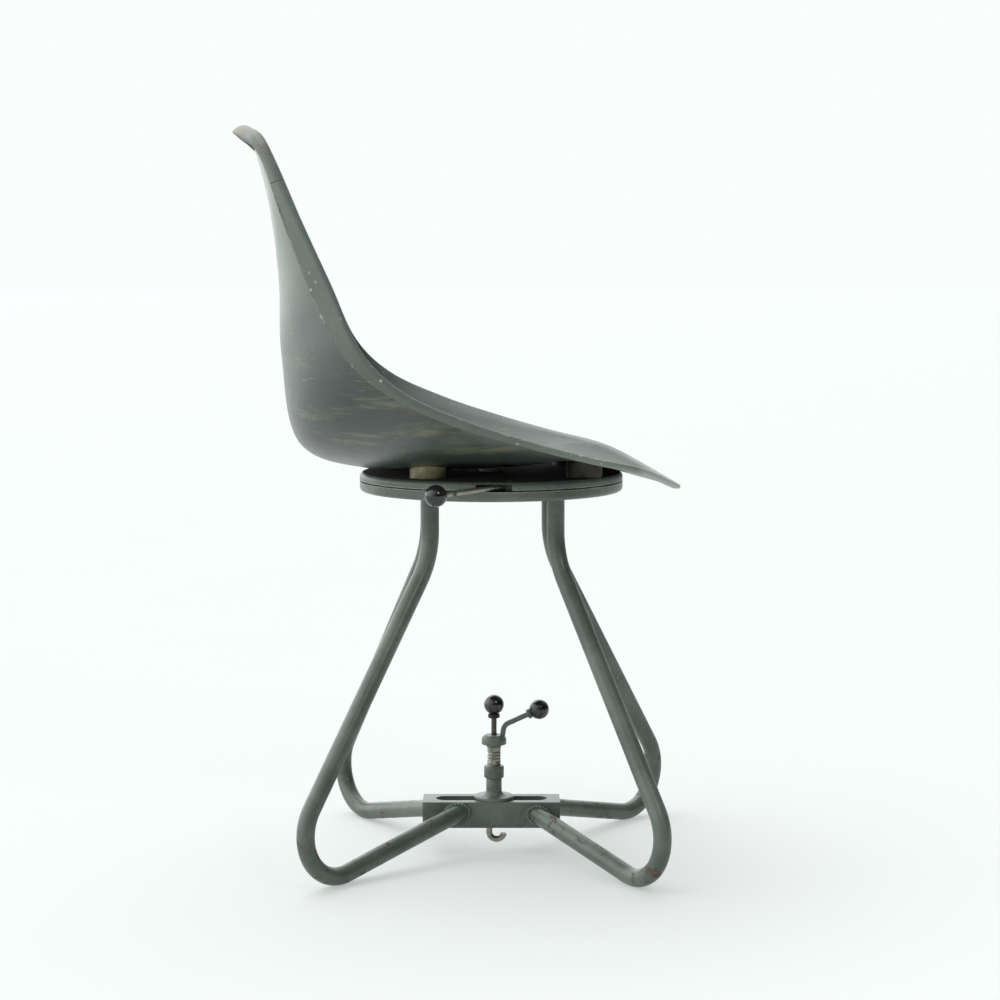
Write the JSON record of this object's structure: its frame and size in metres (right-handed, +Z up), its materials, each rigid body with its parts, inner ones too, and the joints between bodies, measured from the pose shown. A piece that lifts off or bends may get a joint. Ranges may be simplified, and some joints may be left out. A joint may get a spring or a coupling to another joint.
{
  "type": "swivel bucket chair",
  "caption": "Moulded bucket seat on a ball-race swivel with a lock lever, looped tube legs, and a slotted floor channel carrying a screw-down hook clamp.",
  "frame": {"origin": "on the floor, under the seat's swivel axis", "axes": "+Z up along the swivel axis; the sitter faces -Y, with the right hand towards -X"},
  "size_m": [0.475, 0.4992, 0.8294],
  "materials": {
    "shell_paint": "grey-green paint over glass-fibre laminate, satin, scuffed and chipped along the rim",
    "stand_paint": "grey-green enamel, satin, worn with rust spots on the bends",
    "bare_steel": "bare turned steel, dulled",
    "black_knob": "glossy black moulded plastic",
    "resin": "raw laminating resin, yellowed",
    "brass": "plain bronze bearing metal",
    "brake_lining": "pressed friction lining"
  },
  "bodies": {
    "base": {"lower_pan": "stand_paint", "pivot_bush": "brass", "lower_race": "bare_steel", "brake_ring": "bare_steel", "leg_front_left": "stand_paint", "leg_front_right": "stand_paint", "leg_rear_left": "stand_paint", "leg_rear_right": "stand_paint", "pan_welds": "stand_paint", "channel_welds": "stand_paint", "channel": "stand_paint", "channel_ends": "stand_paint"},
    "seat": {"seat_shell": "shell_paint", "seat_pads": "resin", "seat_inserts": "brass", "seat_bolts": "bare_steel", "seat_washers": "bare_steel", "upper_pan": "stand_paint", "upper_race": "bare_steel", "lock_pin": "bare_steel", "pivot_bolt": "bare_steel", "pivot_washer": "bare_steel", "pivot_nut": "bare_steel", "cotter_pin": "bare_steel"},
    "cage": {"ball_cage": "brass", "bearing_balls": "bare_steel"},
    "lock": {"lock_lever": "bare_steel", "lock_shoe": "brake_lining", "lock_knob": "black_knob"},
    "carriage": {"slot_washer": "stand_paint", "column_sleeve": "stand_paint", "collar": "stand_paint", "guide_block": "bare_steel"},
    "lift": {"thrust_washer": "brass"},
    "screw": {"screw_sleeve": "bare_steel", "clamp_hub": "stand_paint", "hub_cap": "stand_paint", "clamp_lever": "stand_paint", "lever_ferrule": "stand_paint", "lever_knob": "black_knob"},
    "hook": {"hook_rod": "bare_steel", "hook_ferrule": "bare_steel", "hook_knob": "black_knob"}
  },
  "joints": [
    {"name": "seat_swivel", "type": "hinge", "parent": "base", "child": "seat", "pos_m": [0, 0, 0.43], "axis": [0, 0, 1], "continuous": true},
    {"name": "cage_turn", "type": "hinge", "parent": "base", "child": "cage", "pos_m": [0, 0, 0.4306], "axis": [0, 0, 1], "continuous": true},
    {"name": "lock_turn", "type": "hinge", "parent": "seat", "child": "lock", "pos_m": [-0.13, -0.02, 0.4348], "axis": [0, 0, 1], "range_deg": [-2, 9]},
    {"name": "clamp_slide", "type": "slide", "parent": "base", "child": "carriage", "axis": [0, 1, 0], "range_m": [-0.037, 0.043]},
    {"name": "draw_lift", "type": "slide", "parent": "carriage", "child": "lift", "axis": [0, 0, 1], "range_m": [-0.008, 0.008]},
    {"name": "clamp_turn", "type": "hinge", "parent": "lift", "child": "screw", "pos_m": [0, -0.003, 0.13], "axis": [0, 0, 1], "range_deg": [-360, 360]},
    {"name": "hook_turn", "type": "hinge", "parent": "lift", "child": "hook", "pos_m": [0, -0.003, 0.1], "axis": [0, 0, 1], "range_deg": [-90, 90]}
  ],
  "couplings": [
    {"joint": "cage_turn", "follows": "seat_swivel", "ratio": 0.5},
    {"joint": "draw_lift", "follows": "clamp_turn", "m_per_rad": 0.0012732}
  ]
}
